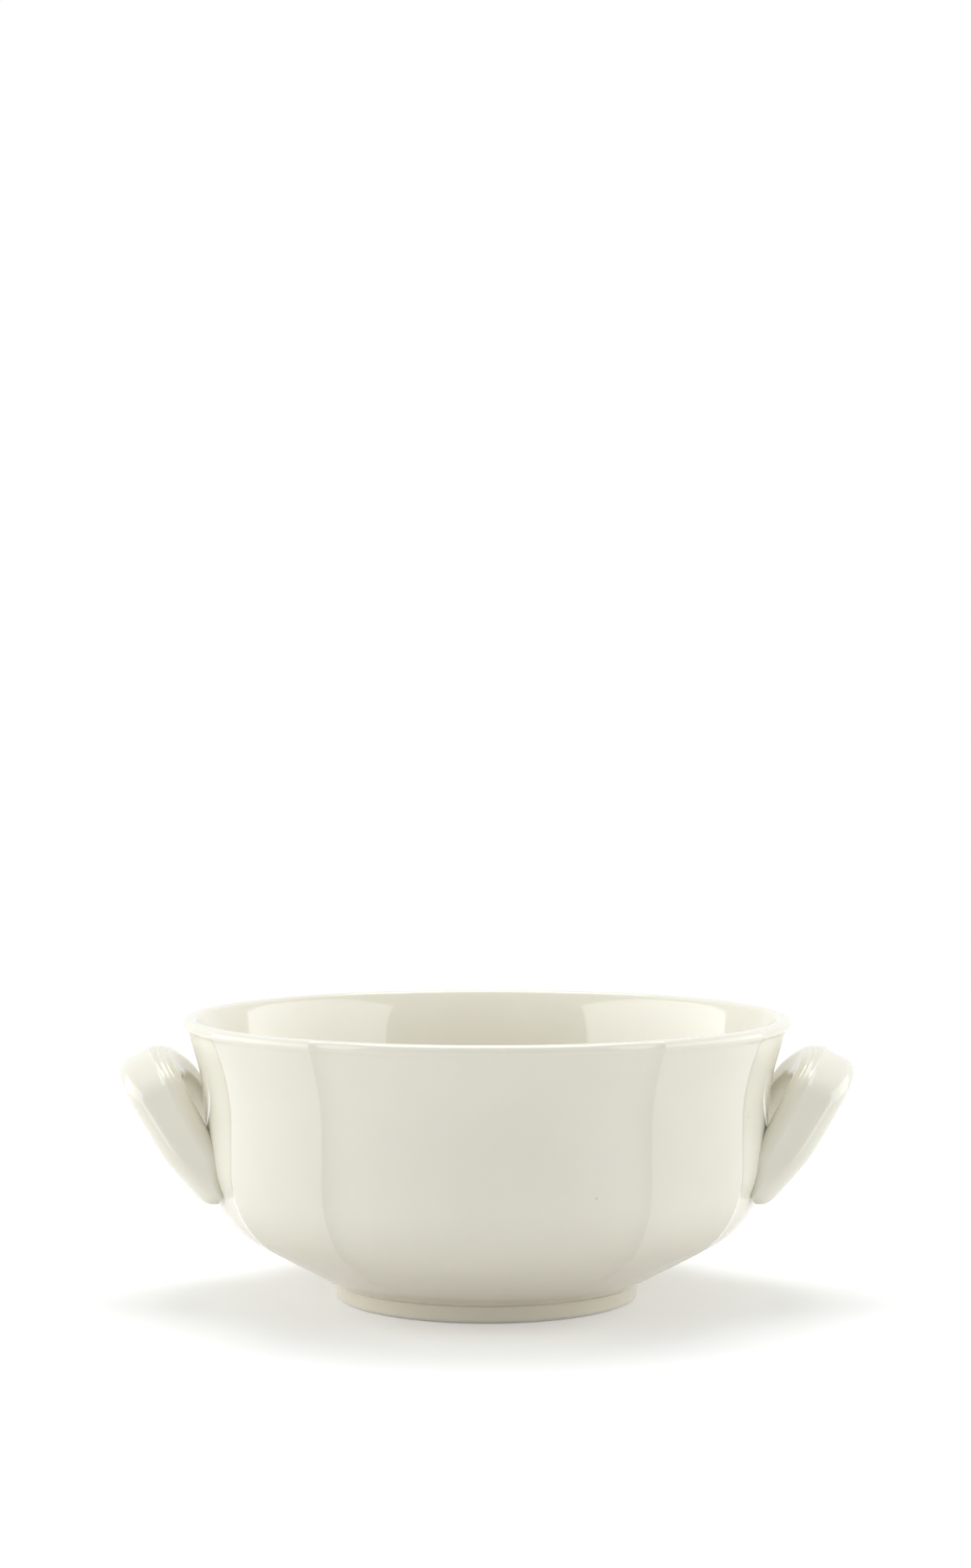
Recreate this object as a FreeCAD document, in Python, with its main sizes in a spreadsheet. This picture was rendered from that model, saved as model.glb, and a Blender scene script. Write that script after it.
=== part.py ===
import FreeCAD, Part
import math
import os
import re

import Sketcher
from FreeCAD import Placement, Rotation, Vector

# Two-handled soup bowl, glazed and fired as one piece of porcelain.
# Frame: millimetres, +Z up, +X through the two handles, -Y the front.
# The origin is the centre of the circle on which the foot ring rests.
# The outside is moulded: four wide panels, and four narrow ones that stand a
# little proud between them. The inside is turned round. Two lug handles, each
# with a window for the finger, are joined to the wall before firing.

doc = FreeCAD.newDocument("SoupBowl")
sheet = doc.addObject("Spreadsheet::Sheet", "Sizes")


# Driving sizes, in millimetres and degrees

SIZES = (
    # The body, from the rest plane up to the top of the lip
    ("bowl_height", 59.5),
    ("wall_radius", 59.9),
    ("wall_thickness", 3.2),
    ("cone_angle", 29.3),
    ("belly_radius", 20.7),
    ("flare_start", 40.0),
    ("flare_radius", 37.5),
    ("lip_round", 1.3),
    # The floor of the inside, and how far its cutter stands above the lip
    ("floor_height", 7.0),
    ("floor_blend", 30.0),
    ("cutter_margin", 3.0),
    # The foot ring, its seat in the base, and the ledge where the body starts
    ("foot_height", 3.6),
    ("foot_radius", 32.0),
    ("foot_width", 4.4),
    ("foot_taper", 0.3),
    ("foot_round", 1.0),
    ("foot_seat", 1.4),
    ("ledge_width", 0.5),
    # The panels: half the angle of a narrow one, how proud it stands, how its
    # crease is rounded, and the height over which it fades out to the foot
    ("narrow_half_angle", 13.0),
    ("panel_rise", 0.75),
    ("least_rise", 0.04),
    ("crease_round", 16.0),
    ("fade_height", 13.0),
    # A handle from the side: each corner's reach beyond the wall, and height. The
    # tip and the crown are where its faces head for, above its arched top.
    ("root_depth", 2.3),
    ("root_height", 32.2),
    ("heel_reach", 1.8),
    ("heel_height", 22.6),
    ("heel_round", 3.0),
    ("elbow_reach", 9.0),
    ("elbow_height", 31.3),
    ("elbow_round", 24.0),
    ("tip_reach", 22.5),
    ("tip_height", 55.0),
    ("crown_reach", 10.3),
    ("crown_height", 59.0),
    # A handle from the front, in the plane that leans out with its arms
    ("handle_lean", 26.0),
    ("arm_half_width", 24.7),
    ("arm_splay", 18.9),
    ("shoulder_round", 8.0),
    ("arch_height", 32.1),
    ("arch_round", 21.9),
    ("window_height", 23.2),
    ("window_half_width", 9.0),
    ("window_splay", 14.0),
    ("window_round", 6.5),
    # The edges of a handle: at its outer face, its inner face and its window
    ("outer_edge_round", 2.1),
    ("inner_edge_round", 3.8),
    ("window_edge_round", 1.6),
)

# Sizes that follow from them: the belly's centre, the upper end of the inner
# cone, where that cone would meet the floor, and the round between the two,
# which the length of the cone limits; and how far a handle turns about the axis

CONE_RUN = "(cone_end_radius - floor_corner) / cos(cone_angle * 1 deg)"
FOLLOWING = (
    ("cone_foot", "foot_radius + foot_taper + ledge_width"),
    (
        "belly_height",
        "foot_height + (belly_radius - (cone_foot - wall_radius + belly_radius)"
        " * sin(cone_angle * 1 deg)) / cos(cone_angle * 1 deg)",
    ),
    ("inner_belly_radius", "belly_radius - wall_thickness"),
    (
        "cone_end_radius",
        "wall_radius - belly_radius + inner_belly_radius * sin(cone_angle * 1 deg)",
    ),
    ("cone_end_height", "belly_height - inner_belly_radius * cos(cone_angle * 1 deg)"),
    (
        "floor_corner",
        "cone_end_radius - (cone_end_height - floor_height) / tan(cone_angle * 1 deg)",
    ),
    ("floor_round", "min(floor_blend; 0.9 * " + CONE_RUN + " / tan(cone_angle / 2 * 1 deg))"),
    ("handle_sweep", "2 * asin((arm_half_width + 2) / (wall_radius - root_depth)) / 1 deg"),
)

for row, (alias, value) in enumerate(SIZES + FOLLOWING, start=1):
    sheet.set("A%d" % row, alias)
    sheet.set("B%d" % row, str(value) if isinstance(value, float) else "=" + value)
    sheet.setAlias("B%d" % row, alias)
doc.recompute()

TURN = 2.0 * math.pi
QUARTER = math.pi / 2.0
TOLERANCE = 0.01


def size(alias):
    """The value of one cell of the sheet."""
    return float(sheet.get(alias))


def cell(formula):
    """A formula over the sheet's aliases, which are the words with underscores."""
    return re.sub(r"[a-z]+(_[a-z]+)+", r"Sizes.\g<0>", formula)


def bind(item, path, formula):
    """Tie one property of an object to the sheet."""
    item.setExpression(path, cell(formula))


# Sketches, in which the points of a line or an arc have these names

POINTS = ("all", "start", "end", "centre")


def new_sketch(body, name, plane):
    """A sketch on one of its body's own origin planes."""
    sketch = body.newObject("Sketcher::SketchObject", name)
    planes = [item for item in body.Origin.OriginFeatures if item.Role == plane]
    sketch.AttachmentSupport = [(planes[0], "")]
    sketch.MapMode = "FlatFace"
    return sketch


def tie(sketch, *elements):
    """Add one geometric constraint, whose points are given by their names."""
    numbered = [POINTS.index(item) if item in POINTS else item for item in elements]
    sketch.addConstraint(Sketcher.Constraint(*numbered))


def hold(sketch, kind, element, formula, point="start"):
    """Add one measured constraint, and tie its value to the sheet."""
    number = POINTS.index(point)
    place = sketch.getPoint(element, number)
    if kind == "DistanceX":
        measured = (kind, -1, 1, element, number, place.x)
    elif kind == "DistanceY":
        measured = (kind, -1, 1, element, number, place.y)
    elif kind == "Radius":
        measured = (kind, element, sketch.Geometry[element].Radius)
    else:
        run = sketch.getPoint(element, 2) - sketch.getPoint(element, 1)
        measured = (kind, element, math.atan2(run.y, run.x))
    index = sketch.addConstraint(Sketcher.Constraint(*measured))
    bind(sketch, "Constraints[%d]" % index, formula)


def polar(centre, radius, angle):
    """A point at an angle, in radians, about a centre and level with it."""
    return centre + Vector(radius * math.cos(angle), radius * math.sin(angle), 0)


def draw_line(sketch, start, end):
    """Add a line, and return its number."""
    sketch.addGeometry(Part.LineSegment(start, end), False)
    return sketch.GeometryCount - 1


def draw_arc(sketch, centre, radius, start, end):
    """Add a counter-clockwise arc between two angles, and return its number."""
    circle = Part.Circle(centre, Vector(0, 0, 1), radius)
    sketch.addGeometry(Part.ArcOfCircle(circle, start, end), False)
    return sketch.GeometryCount - 1


def polygon(sketch, corners):
    """A closed polygon whose corners (x, y) are formulas over the sheet."""
    count = len(corners)
    ring = [polar(Vector(), size("wall_radius"), TURN * i / count) for i in range(count)]
    sides = [draw_line(sketch, ring[i - 1], ring[i]) for i in range(count)]
    for index, side in enumerate(sides):
        tie(sketch, "Coincident", sides[index - 1], "end", side, "start")
    for side, (across, along) in zip(sides, corners):
        hold(sketch, "DistanceX", side, across)
        hold(sketch, "DistanceY", side, along)


# Features

def revolve(body, sketch, name):
    """Turn a sketch right round the bowl's axis."""
    turned = body.newObject("PartDesign::Revolution", name)
    turned.Profile = sketch
    turned.ReferenceAxis = (sketch, ["V_Axis"])
    turned.Angle = 360
    doc.recompute()
    return turned


def round_edges(body, base, name, radius, wanted):
    """A fillet, tied to the sheet, on the edges of a feature that pass a test."""
    edges = ["Edge%d" % (i + 1) for i, edge in enumerate(base.Shape.Edges) if wanted(edge)]
    fillet = body.newObject("PartDesign::Fillet", name)
    fillet.Base = (base, edges)
    bind(fillet, "Radius", radius)
    doc.recompute()
    return fillet


def is_ring(edge, height, radius=None):
    """Whether an edge is an arc about the bowl's axis, at a height and radius."""
    curve = edge.Curve
    if not isinstance(curve, Part.Circle):
        return False
    centred = math.hypot(curve.Center.x, curve.Center.y) < TOLERANCE
    level = abs(curve.Center.z - height) < TOLERANCE
    return centred and level and (radius is None or abs(curve.Radius - radius) < TOLERANCE)


# The wall's meridian: cone, belly, upright wall, flare and lip

CONE_NORMAL = math.radians(size("cone_angle")) - QUARTER


def draw_wall(sketch, cone_start, inner):
    """Cone, belly, wall, flare and lip of the outer face, or of the inner one.

    Both faces share the centres of the belly and the flare, so that the wall
    is even. Returns the numbers of the cone and the lip.
    """
    depth = size("wall_thickness") if inner else 0.0
    belly = Vector(size("wall_radius") - size("belly_radius"), size("belly_height"), 0)
    bend = Vector(size("wall_radius") + size("flare_radius"), size("flare_start"), 0)
    belly_radius = size("belly_radius") - depth
    wall_radius = size("wall_radius") - depth
    flare_radius = size("flare_radius") + depth
    lip_radius = size("lip_round")
    to_lip = flare_radius - lip_radius if inner else flare_radius + lip_radius
    lip_turn = math.asin((size("bowl_height") - lip_radius - bend.y) / to_lip)
    lip_centre = polar(bend, to_lip, math.pi - lip_turn)

    cone = draw_line(sketch, cone_start, polar(belly, belly_radius, CONE_NORMAL))
    round_belly = draw_arc(sketch, belly, belly_radius, CONE_NORMAL, 0.0)
    wall = draw_line(sketch, Vector(wall_radius, belly.y, 0), Vector(wall_radius, bend.y, 0))
    flare = draw_arc(sketch, bend, flare_radius, math.pi - lip_turn, math.pi)
    if inner:
        lip = draw_arc(sketch, lip_centre, lip_radius, QUARTER, math.pi - lip_turn)
        lip_low, lip_high = "end", "start"
    else:
        lip = draw_arc(sketch, lip_centre, lip_radius, -lip_turn, QUARTER)
        lip_low, lip_high = "start", "end"

    tie(sketch, "Tangent", cone, "end", round_belly, "start")
    tie(sketch, "Tangent", round_belly, "end", wall, "start")
    tie(sketch, "Tangent", wall, "end", flare, "end")
    tie(sketch, "Tangent", flare, "start", lip, lip_low)
    tie(sketch, "Vertical", wall)
    tie(sketch, "Vertical", lip, "centre", lip, lip_high)
    hold(sketch, "Angle", cone, "cone_angle * 1 deg")
    hold(sketch, "DistanceY", round_belly, "belly_height", "centre")
    hold(sketch, "Radius", round_belly, "inner_belly_radius" if inner else "belly_radius")
    hold(sketch, "DistanceX", wall, "wall_radius - wall_thickness" if inner else "wall_radius")
    hold(sketch, "DistanceY", flare, "flare_start", "centre")
    hold(sketch, "Radius", flare, "flare_radius + wall_thickness" if inner else "flare_radius")
    hold(sketch, "Radius", lip, "lip_round")
    hold(sketch, "DistanceY", lip, "bowl_height", lip_high)
    return cone, lip


# The panelled outside, lofted through level sections

outline = doc.addObject("Sketcher::SketchObject", "OuterOutline")
outline.Placement = Placement(Vector(), Rotation(Vector(1, 0, 0), 90))
draw_wall(outline, Vector(size("cone_foot"), size("foot_height"), 0), inner=False)
hold(outline, "DistanceY", 0, "foot_height")
doc.recompute()

# How far up each piece of the outline the sections lie. Their spacing changes
# gently, because a loft overshoots where it jumps.
STATIONS = (
    (0.0, 0.25, 0.5, 0.75, 1.0),
    (0.17, 0.34, 0.5, 0.67, 0.84, 1.0),
    (0.5, 1.0),
    (0.25, 0.5, 0.7, 0.85, 0.94, 1.0),
    (0.25, 0.5, 0.75, 1.0),
)


def climb(edge, share):
    """The point a share of the way up an edge, from its lower end."""
    first, last = edge.FirstParameter, edge.LastParameter
    if edge.valueAt(first).z > edge.valueAt(last).z:
        first, last = last, first
    return edge.valueAt(first + share * (last - first))


def rise_at(height):
    """How proud the narrow panels stand: they fade out towards the foot."""
    share = (height - size("foot_height")) / size("fade_height")
    share = min(1.0, max(0.0, share))
    eased = share * share * (3.0 - 2.0 * share)
    return size("least_rise") + (size("panel_rise") - size("least_rise")) * eased


def line(start, end):
    """A straight edge."""
    return Part.LineSegment(start, end).toShape()


def arc_about(centre, radius, start, end):
    """A level arc between two angles about a centre."""
    middle = polar(centre, radius, (start + end) / 2.0)
    return Part.Arc(polar(centre, radius, start), middle, polar(centre, radius, end)).toShape()


def panelled_section(radius, height):
    """One level section: four wide arcs, and four proud narrow ones between.

    A narrow arc ends in a rounded crease. From there a straight flank runs
    down to the wide arc and meets it at a tangent.
    """
    axis = Vector(0, 0, height)
    proud = radius + rise_at(height)
    crease = min(size("crease_round"), radius / 2.0)
    half = math.radians(size("narrow_half_angle")) + math.acos(radius / proud)
    reach = math.acos((radius - crease) / (proud - crease))
    edges = []
    for quarter in range(4):
        middle = (quarter + 0.5) * QUARTER
        low, high = middle - half, middle + half
        low_centre = polar(axis, proud - crease, low + reach)
        high_centre = polar(axis, proud - crease, high - reach)
        edges += [
            line(polar(axis, radius, low), polar(low_centre, crease, low)),
            arc_about(low_centre, crease, low, low + reach),
            arc_about(axis, proud, low + reach, high - reach),
            arc_about(high_centre, crease, high - reach, high),
            line(polar(high_centre, crease, high), polar(axis, radius, high)),
            arc_about(axis, radius, high, low + QUARTER),
        ]
    return Part.Wire(edges)


sections = []
for edge, shares in zip(outline.Shape.Edges, STATIONS):
    for share in shares:
        station = climb(edge, share)
        sections.append(panelled_section(station.x, station.z))
panelled = doc.addObject("Part::Feature", "PanelledForm")
panelled.Shape = Part.makeLoft(sections, True, False)


# The foot ring, turned, its top let into the base

foot = doc.addObject("PartDesign::Body", "FootRing")
foot_section = new_sketch(foot, "FootSection", "XZ_Plane")
polygon(foot_section, (
    ("foot_radius - foot_width", "0"),
    ("foot_radius", "0"),
    ("foot_radius + foot_taper", "foot_height + foot_seat"),
    ("foot_radius - foot_width - foot_taper", "foot_height + foot_seat"),
))
ring = revolve(foot, foot_section, "Ring")
round_edges(foot, ring, "RingRounding", "foot_round", lambda edge: is_ring(edge, 0.0))


# A handle, turned about the bowl's axis so that it follows the wall

handle = doc.addObject("PartDesign::Body", "Handle")
side_view = new_sketch(handle, "HandleSideView", "XZ_Plane")
polygon(side_view, (
    ("wall_radius - root_depth", "heel_height"),
    ("wall_radius + heel_reach", "heel_height"),
    ("wall_radius + elbow_reach", "elbow_height"),
    ("wall_radius + tip_reach", "tip_height"),
    ("wall_radius + crown_reach", "crown_height"),
    ("wall_radius - root_depth", "root_height"),
))
lug = revolve(handle, side_view, "Lug")
lug.Midplane = True
bind(lug, "Angle", "handle_sweep * 1 deg")
doc.recompute()


def corner_test(corner):
    """A test for the edges at one corner of the handle's side view."""
    radius = size("wall_radius") + size(corner + "_reach")
    return lambda edge: is_ring(edge, size(corner + "_height"), radius)


rounded = lug
for corner in ("heel", "elbow"):
    name = corner.capitalize() + "Rounding"
    rounded = round_edges(handle, rounded, name, corner + "_round", corner_test(corner))


# The front outline and the window of a handle are cut at right angles to its
# arms. In their plane x runs along Y, and y up the arms from their heels' height.

SPLAY = math.radians(size("arm_splay"))
FAR_BELOW = "0 - arch_height"
FAR_ABOVE = "arch_height * 2"
LEAN = math.radians(size("handle_lean"))
UP_ARM = Vector(math.sin(LEAN), 0, math.cos(LEAN))
THROUGH = Vector(math.cos(LEAN), 0, -math.sin(LEAN))
ARM_HEEL = Vector(size("wall_radius"), 0, size("heel_height"))


def leaning_sketch(name):
    """A sketch in the plane of the handle's arms."""
    sketch = new_sketch(handle, name, "YZ_Plane")
    sketch.AttachmentOffset = Placement(Vector(), Rotation(Vector(1, 0, 0), 1))
    bind(sketch, "AttachmentOffset.Rotation.Angle", "handle_lean * 1 deg")
    bind(sketch, "AttachmentOffset.Base.y", "heel_height * 1 mm")
    bind(sketch, "AttachmentOffset.Base.z", "wall_radius * 1 mm")
    return sketch


def cut_through(sketch, name):
    """Cut a sketch right through the handle, both ways."""
    cut = handle.newObject("PartDesign::Pocket", name)
    cut.Profile = sketch
    cut.SideType = "Symmetric"
    cut.Type = "ThroughAll"
    doc.recompute()
    return cut


def up_arm(point):
    """How far up the arms a point lies."""
    return (point - ARM_HEEL).dot(UP_ARM)


# What lies beyond the front outline: two splayed arms, each of which turns in a
# round shoulder into the arched top

ARM_WAY = Vector(-math.sin(SPLAY), math.cos(SPLAY), 0)
ARM_FOOT = "(arm_half_width + arch_height * tan(arm_splay * 1 deg))"
arch_centre = Vector(0, size("arch_height") - size("arch_round"), 0)
beside_arm = polar(Vector(size("arm_half_width"), 0, 0), -size("shoulder_round"), SPLAY)
apart = size("arch_round") - size("shoulder_round")
along = (arch_centre - beside_arm).dot(ARM_WAY)
across = (arch_centre - beside_arm).cross(ARM_WAY).Length
shoulder_centre = beside_arm + ARM_WAY * (along + math.sqrt(apart ** 2 - across ** 2))
ARCH_TURN = math.atan2(shoulder_centre.y - arch_centre.y, shoulder_centre.x)


def mirrored(point, side):
    """A point of the right half, or its mirror image in the left half."""
    return Vector(side * point.x, point.y, 0)


def half_front(sketch, arch, side):
    """One side of the front outline, and of the frame outside it. Returns its post."""
    if side > 0:
        sign, near, low, high = "", "start", "start", "end"
        turn = (SPLAY, ARCH_TURN)
        angle = "(90 + arm_splay) * 1 deg"
    else:
        sign, near, low, high = "0 - ", "end", "end", "start"
        turn = (math.pi - ARCH_TURN, math.pi - SPLAY)
        angle = "(90 - arm_splay) * 1 deg"
    bottom, top = -size("arch_height"), size("arch_height") * 2.0
    arm_top = polar(shoulder_centre, size("shoulder_round"), SPLAY)
    arm_foot = arm_top - ARM_WAY * ((arm_top.y - bottom) / math.cos(SPLAY))
    post_foot = Vector(size("wall_radius"), bottom, 0)
    post_top = Vector(size("wall_radius"), top, 0)

    centre = mirrored(shoulder_centre, side)
    shoulder = draw_arc(sketch, centre, size("shoulder_round"), *turn)
    arm = draw_line(sketch, mirrored(arm_foot, side), mirrored(arm_top, side))
    sill = draw_line(sketch, mirrored(arm_foot, side), mirrored(post_foot, side))
    post = draw_line(sketch, mirrored(post_foot, side), mirrored(post_top, side))
    tie(sketch, "Tangent", shoulder, high, arch, near)
    tie(sketch, "Tangent", arm, "end", shoulder, low)
    tie(sketch, "Coincident", arm, "start", sill, "start")
    tie(sketch, "Coincident", sill, "end", post, "start")
    tie(sketch, "Horizontal", sill)
    tie(sketch, "Vertical", post)
    hold(sketch, "Radius", shoulder, "shoulder_round")
    hold(sketch, "Angle", arm, angle)
    hold(sketch, "DistanceX", arm, sign + ARM_FOOT)
    hold(sketch, "DistanceY", arm, FAR_BELOW)
    hold(sketch, "DistanceX", post, sign + "wall_radius")
    hold(sketch, "DistanceY", post, FAR_ABOVE, "end")
    return post


front = leaning_sketch("HandleFront")
arch = draw_arc(front, arch_centre, size("arch_round"), ARCH_TURN, math.pi - ARCH_TURN)
tie(front, "PointOnObject", arch, "centre", -2)
hold(front, "DistanceY", arch, "arch_height - arch_round", "centre")
hold(front, "Radius", arch, "arch_round")
right_post = half_front(front, arch, 1)
left_post = half_front(front, arch, -1)
post_top = Vector(size("wall_radius"), size("arch_height") * 2.0, 0)
beam = draw_line(front, post_top, mirrored(post_top, -1))
tie(front, "Coincident", right_post, "end", beam, "start")
tie(front, "Coincident", left_post, "end", beam, "end")
fronted = cut_through(front, "FrontCut")

# The window between the arms, which the crossbar closes above
window = leaning_sketch("HandleWindow")
window_foot = "(window_half_width + (window_height + arch_height) * tan(window_splay * 1 deg))"
polygon(window, (
    ("0 - " + window_foot, FAR_BELOW),
    (window_foot, FAR_BELOW),
    ("window_half_width", "window_height"),
    ("0 - window_half_width", "window_height"),
))
opened = cut_through(window, "WindowCut")


def is_window_corner(edge):
    """Whether an edge is one of the two upper corners inside the window."""
    ends = [vertex.Point for vertex in edge.Vertexes]
    at_top = all(abs(up_arm(end) - size("window_height")) < TOLERANCE for end in ends)
    at_side = all(abs(abs(end.y) - size("window_half_width")) < TOLERANCE for end in ends)
    return at_top and at_side and (ends[-1] - ends[0]).cross(THROUGH).Length < TOLERANCE


def middle_of(edge):
    """The point half way along an edge."""
    return edge.valueAt((edge.FirstParameter + edge.LastParameter) / 2.0)


def is_clear_of_root(edge):
    """Whether an edge lies outside the root, which is buried in the wall."""
    root = size("wall_radius") - size("root_depth") + TOLERANCE
    return math.hypot(middle_of(edge).x, middle_of(edge).y) > root


def middle_and_normal(face):
    """The middle of a face, and its normal there."""
    low_u, high_u, low_v, high_v = face.ParameterRange
    middle = ((low_u + high_u) / 2.0, (low_v + high_v) / 2.0)
    return face.valueAt(*middle), face.normalAt(*middle)


def is_cut_through(face, outward):
    """Whether the front outline cut a face, or else, if not outward, the window."""
    middle, normal = middle_and_normal(face)
    from_window = middle - ARM_HEEL - UP_ARM * (size("window_height") / 2.0)
    is_outward = normal.dot(from_window) > 0.0
    return abs(normal.dot(THROUGH)) < TOLERANCE and is_outward == outward


def is_inner(edge):
    """Whether an edge lies on the handle's inner face, between root and crown."""
    middle = middle_of(edge)
    place = Vector(math.hypot(middle.x, middle.y) - size("wall_radius"), middle.z, 0)
    root = Vector(-size("root_depth"), size("root_height"), 0)
    crown = Vector(size("crown_reach"), size("crown_height"), 0)
    slope = crown - root
    return (place - root).cross(slope).Length < TOLERANCE * slope.Length


def is_sharp(edge, faces):
    """Whether the faces on the two sides of an edge meet there at an angle."""
    sides = [face for face in faces if any(edge.isSame(other) for other in face.Edges)]
    normals = [face.normalAt(*face.Surface.parameter(middle_of(edge))) for face in sides]
    return normals[0].cross(normals[-1]).Length > 0.1


def rim(shape, outward):
    """The sharp edges where faces cut by the outline, or the window, meet the rest."""
    cut = [face for face in shape.Faces if is_cut_through(face, outward)]
    edges = []
    for edge in shape.Edges:
        owners = [face for face in cut if any(edge.isSame(other) for other in face.Edges)]
        if len(owners) == 1 and is_clear_of_root(edge) and is_sharp(edge, shape.Faces):
            edges.append(edge)
    return edges


def among(edges):
    """A test for the edges of a list."""
    return lambda edge: any(edge.isSame(other) for other in edges)


cornered = round_edges(handle, opened, "WindowCorners", "window_round", is_window_corner)
inner_rim = [edge for edge in rim(cornered.Shape, True) if is_inner(edge)]
backed = round_edges(handle, cornered, "InnerRounding", "inner_edge_round", among(inner_rim))
outer_rim = rim(backed.Shape, True)
faced = round_edges(handle, backed, "OuterRounding", "outer_edge_round", among(outer_rim))
window_rim = rim(faced.Shape, False)
round_edges(handle, faced, "WindowRounding", "window_edge_round", among(window_rim))

opposite = doc.addObject("Part::Mirroring", "OppositeHandle")
opposite.Source = handle
opposite.Normal = Vector(1, 0, 0)


# The round inside, turned as one cutter: a level floor that blends into the cone

hollow = doc.addObject("PartDesign::Body", "Hollow")
inside = new_sketch(hollow, "InsideProfile", "XZ_Plane")
fillet_reach = size("floor_round") * math.tan(math.radians(size("cone_angle")) / 2.0)
dish_height = size("floor_height") + size("floor_round")
dish_centre = Vector(size("floor_corner") - fillet_reach, dish_height, 0)
cone_start = polar(dish_centre, size("floor_round"), CONE_NORMAL)
cone, lip = draw_wall(inside, cone_start, inner=True)

lip_top = inside.getPoint(lip, POINTS.index("start"))
above_lip = lip_top + Vector(0, size("cutter_margin"), 0)
above_floor = Vector(0, above_lip.y, 0)
floor_centre = Vector(0, size("floor_height"), 0)
floor_end = Vector(dish_centre.x, size("floor_height"), 0)
riser = draw_line(inside, lip_top, above_lip)
lid = draw_line(inside, above_lip, above_floor)
axis = draw_line(inside, above_floor, floor_centre)
floor = draw_line(inside, floor_centre, floor_end)
dish = draw_arc(inside, dish_centre, size("floor_round"), -QUARTER, CONE_NORMAL)
tie(inside, "Coincident", lip, "start", riser, "start")
tie(inside, "Coincident", riser, "end", lid, "start")
tie(inside, "Coincident", lid, "end", axis, "start")
tie(inside, "Coincident", axis, "end", floor, "start")
tie(inside, "Tangent", floor, "end", dish, "start")
tie(inside, "Tangent", dish, "end", cone, "start")
tie(inside, "Vertical", riser)
tie(inside, "Horizontal", lid)
tie(inside, "Vertical", axis)
tie(inside, "Horizontal", floor)
tie(inside, "PointOnObject", axis, "start", -2)
hold(inside, "Radius", dish, "floor_round")
hold(inside, "DistanceY", floor, "floor_height")
hold(inside, "DistanceY", lid, "bowl_height + cutter_margin")
revolve(hollow, inside, "InsideForm")


# One solid: body, foot ring and handles together, hollowed by the inside

together = doc.addObject("Part::MultiFuse", "SolidForm")
together.Shapes = [panelled, foot, handle, opposite]
bowl = doc.addObject("Part::Cut", "Bowl")
bowl.Base = together
bowl.Tool = hollow
bowl.Label = "soup_bowl"
doc.recompute()

for item in doc.Objects:
    if "Invalid" in item.State or "Error" in item.State:
        raise RuntimeError("%s did not build: %s" % (item.Name, item.State))
if bowl.Shape.isNull() or not bowl.Shape.isValid() or len(bowl.Shape.Solids) != 1:
    raise RuntimeError("soup_bowl is not one valid solid")

brim = Part.makeCylinder(size("wall_radius") * 2.0, size("bowl_height"))
print("soup_bowl: %.1f cm3 of clay, holds %.0f ml to the brim" % (
    bowl.Shape.Volume / 1000.0, hollow.Shape.common(brim).Volume / 1000.0))

os.makedirs("parts", exist_ok=True)
bowl.Shape.exportStep("parts/%s.step" % bowl.Label)
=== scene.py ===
import math

import bmesh
import bpy
import numpy as np
from mathutils import Euler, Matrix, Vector


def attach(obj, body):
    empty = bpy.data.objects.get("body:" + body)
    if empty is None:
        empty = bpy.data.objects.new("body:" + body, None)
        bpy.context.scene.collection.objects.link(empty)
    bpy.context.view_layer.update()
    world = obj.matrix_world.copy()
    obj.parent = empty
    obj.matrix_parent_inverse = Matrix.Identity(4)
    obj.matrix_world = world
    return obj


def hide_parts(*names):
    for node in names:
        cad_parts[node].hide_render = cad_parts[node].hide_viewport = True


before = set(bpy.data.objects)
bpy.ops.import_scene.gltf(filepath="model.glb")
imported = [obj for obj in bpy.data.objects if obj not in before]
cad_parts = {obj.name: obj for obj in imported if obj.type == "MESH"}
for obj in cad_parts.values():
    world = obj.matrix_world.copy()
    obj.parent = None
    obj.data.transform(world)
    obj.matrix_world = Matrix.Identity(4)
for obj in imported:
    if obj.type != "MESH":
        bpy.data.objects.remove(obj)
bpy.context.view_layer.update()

MM = 0.001
QUARTER = math.pi / 2.0

# Sizes of the body, in millimetres, and its angles, as in the part's source

BOWL_HEIGHT = 59.5
WALL_RADIUS = 59.9
WALL_THICKNESS = 3.2
CONE_ANGLE = math.radians(29.3)
BELLY_RADIUS = 20.7
FLARE_START = 40.0
FLARE_RADIUS = 37.5
LIP_ROUND = 1.3
FLOOR_HEIGHT = 7.0
FLOOR_BLEND = 30.0
FOOT_HEIGHT = 3.6
FOOT_RADIUS = 32.0
FOOT_WIDTH = 4.4
FOOT_TAPER = 0.3
FOOT_ROUND = 1.0
LEDGE_WIDTH = 0.5
NARROW_HALF_ANGLE = math.radians(13.0)
PANEL_RISE = 0.75
LEAST_RISE = 0.04
FADE_HEIGHT = 13.0

# Finer forms of the body, which the part's source doesn't have

# a narrow panel ends at a crisp crease, and its flank runs out hollow into the wide panel
FLANK_ANGLE = math.radians(14.0)
FLANK_HOLLOW = 7.0
CREASE_SOFTNESS = 0.06
# a shallow hollow runs under the lip, so that the lip reads as a rolled band
LIP_HOLLOW = 0.2
LIP_HOLLOW_HEIGHT = 57.0
LIP_HOLLOW_ABOVE = 0.5
LIP_HOLLOW_BELOW = 1.7
# the round between the base and the inner face of the foot ring
RECESS_ROUND = 0.6

# Sizes of a handle, as in the part's source

LEAN = math.radians(26.0)
HEEL_HEIGHT = 22.6
ROOT_DEPTH = 2.3
# the rounding of the corners that lie in the wall, or above the arched top
HIDDEN_ROUND = 0.4
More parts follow.
